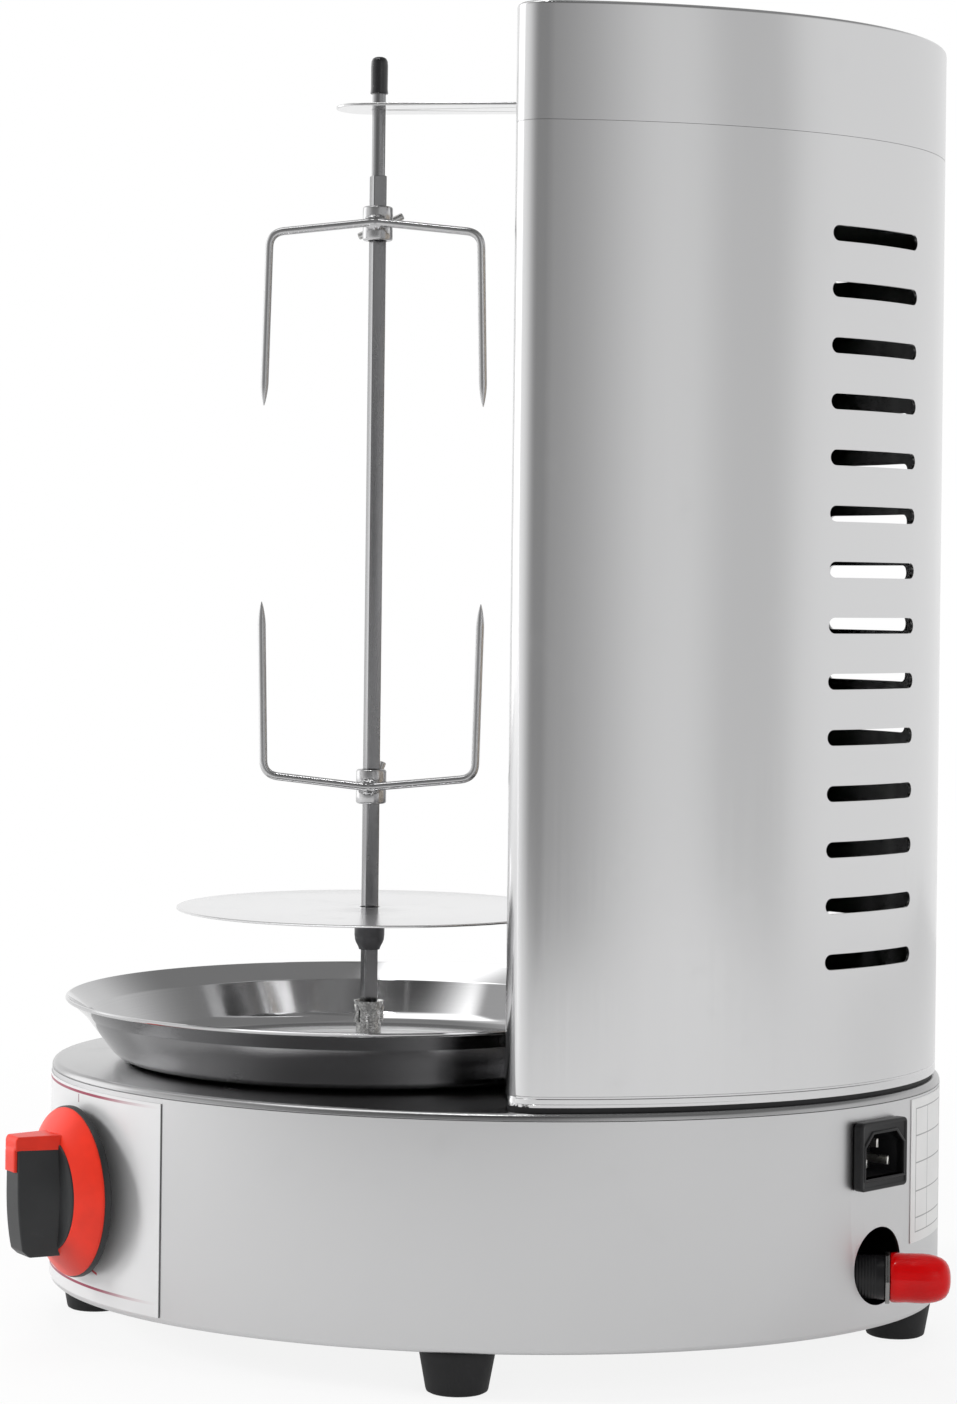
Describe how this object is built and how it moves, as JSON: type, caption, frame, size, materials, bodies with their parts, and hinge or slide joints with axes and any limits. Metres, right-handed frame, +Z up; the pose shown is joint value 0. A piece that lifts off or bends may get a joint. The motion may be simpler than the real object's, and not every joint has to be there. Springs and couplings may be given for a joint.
{
  "type": "vertical spit broiler",
  "caption": "Small upright gas broiler on an oval base, with a motor driven vertical spit, two forks, a drip tray and a curved burner tower.",
  "frame": {"origin": "on the floor under the middle of the oval base", "axes": "+Z up, -Y to the front with the knobs, +Y to the back of the tower, +X to the side with the mains and gas inlets"},
  "size_m": [0.288, 0.3744, 0.5287],
  "materials": {
    "brushed_steel": "fine brushed stainless steel",
    "base_steel": "satin stainless steel",
    "polished_steel": "polished stainless steel",
    "spit_steel": "drawn steel bar",
    "cast_steel": "dull turned steel",
    "panel_film": "pale printed film on sheet",
    "plate_film": "white film",
    "black_rubber": "moulded rubber",
    "black_plastic": "fine textured plastic",
    "red_plastic": "satin red plastic",
    "red_vinyl": "glossy dipped vinyl",
    "black_vinyl": "dipped vinyl",
    "brass": "machined brass",
    "bronze": "sintered bronze",
    "zinc_steel": "zinc plated steel",
    "fitting_black": "black coated metal",
    "pin_metal": "nickel plated brass",
    "ceramic": "perforated ceramic",
    "pale_plastic": "nylon"
  },
  "bodies": {
    "cabinet": {"base_drum": "base_steel", "base_top_plate": "base_steel", "base_bottom_plate": "base_steel", "control_panel": "panel_film", "rating_plate": "plate_film", "rubber_feet": "black_rubber", "foot_screws": "zinc_steel", "mains_inlet": "black_plastic", "mains_inlet_pins": "pin_metal", "gearbox_case": "zinc_steel", "gearbox_lid": "zinc_steel", "gearbox_screws": "zinc_steel", "shaft_bush": "bronze", "motor_can": "zinc_steel", "valve_nuts": "zinc_steel", "valve_springs": "zinc_steel", "gas_manifold": "zinc_steel", "gas_inlet_fitting": "fitting_black", "gas_inlet_nut": "zinc_steel", "lower_burner_tube": "zinc_steel", "upper_burner_tube": "zinc_steel", "tower_gasket": "black_rubber", "tower_floor": "brushed_steel", "tower_shell": "brushed_steel", "tower_cap": "brushed_steel", "tower_screws": "zinc_steel", "reflector_panel": "polished_steel", "spit_bracket": "brushed_steel", "bracket_screws": "zinc_steel", "right_gas_valve": "brass", "left_gas_valve": "brass", "lower_burner_housing": "zinc_steel", "lower_burner_plaque": "ceramic", "lower_burner_mesh": "polished_steel", "upper_burner_housing": "zinc_steel", "upper_burner_plaque": "ceramic", "upper_burner_mesh": "polished_steel"},
    "motor_shaft": {"motor_rotor": "cast_steel", "motor_pinion": "cast_steel"},
    "spit_drive": {"output_gear": "pale_plastic", "drive_socket": "polished_steel"},
    "spit": {"spit_bar": "spit_steel", "spit_end_cap": "black_vinyl", "meat_disc": "brushed_steel", "disc_hub": "cast_steel"},
    "upper_fork": {"upper_fork": "spit_steel"},
    "upper_clamp": {"upper_clamp_screw": "zinc_steel"},
    "lower_fork": {"lower_fork": "spit_steel"},
    "lower_clamp": {"lower_clamp_screw": "zinc_steel"},
    "tray": {"drip_tray": "polished_steel"},
    "gas_cap": {"gas_inlet_cap": "red_vinyl"},
    "right_valve_push": {"right_valve_plunger": "brass"},
    "right_knob": {"right_valve_stem": "zinc_steel", "right_knob_grip": "black_plastic", "right_knob_trim": "red_plastic"},
    "left_valve_push": {"left_valve_plunger": "brass"},
    "left_knob": {"left_valve_stem": "zinc_steel", "left_knob_grip": "black_plastic", "left_knob_trim": "red_plastic"}
  },
  "joints": [
    {"name": "spit_turn", "type": "hinge", "parent": "cabinet", "child": "spit_drive", "pos_m": [0, -0.053, 0.1085], "axis": [0, 0, 1], "continuous": true},
    {"name": "motor_turn", "type": "hinge", "parent": "cabinet", "child": "motor_shaft", "pos_m": [0, -0.018, 0.08], "axis": [0, 0, 1], "continuous": true},
    {"name": "spit_lift", "type": "slide", "parent": "spit_drive", "child": "spit", "axis": [0, 0, 1], "range_m": [0, 0.026]},
    {"name": "upper_fork_slide", "type": "slide", "parent": "spit", "child": "upper_fork", "axis": [0, 0, 1], "range_m": [-0.045, 0.012]},
    {"name": "lower_fork_slide", "type": "slide", "parent": "spit", "child": "lower_fork", "axis": [0, 0, 1], "range_m": [-0.038, 0.04]},
    {"name": "upper_clamp_turn", "type": "hinge", "parent": "upper_fork", "child": "upper_clamp", "pos_m": [-0.008, -0.053, 0.45855], "axis": [-1, 0, 0], "range_deg": [0, 720]},
    {"name": "lower_clamp_turn", "type": "hinge", "parent": "lower_fork", "child": "lower_clamp", "pos_m": [-0.008, -0.053, 0.22235], "axis": [-1, 0, 0], "range_deg": [0, 720]},
    {"name": "tray_lift", "type": "slide", "parent": "cabinet", "child": "tray", "axis": [0, 0, 1], "range_m": [0, 0.05]},
    {"name": "gas_cap_pull", "type": "slide", "parent": "cabinet", "child": "gas_cap", "axis": [0, 1, 0], "range_m": [0, 0.025]},
    {"name": "right_knob_push", "type": "slide", "parent": "cabinet", "child": "right_valve_push", "axis": [-0.6225, 0.7826, 0], "range_m": [0, 0.003], "stiffness_N_per_m": 1500, "springref_m": -0.004},
    {"name": "right_knob_turn", "type": "hinge", "parent": "right_valve_push", "child": "right_knob", "pos_m": [0.0758, -0.15729, 0.0629], "axis": [0.6225, -0.7826, 0], "range_deg": [0, 180]},
    {"name": "left_knob_push", "type": "slide", "parent": "cabinet", "child": "left_valve_push", "axis": [0.6225, 0.7826, 0], "range_m": [0, 0.003], "stiffness_N_per_m": 1500, "springref_m": -0.004},
    {"name": "left_knob_turn", "type": "hinge", "parent": "left_valve_push", "child": "left_knob", "pos_m": [-0.0758, -0.15729, 0.0629], "axis": [-0.6225, -0.7826, 0], "range_deg": [0, 180]}
  ],
  "couplings": [
    {"joint": "motor_turn", "follows": "spit_turn", "ratio": -4}
  ]
}
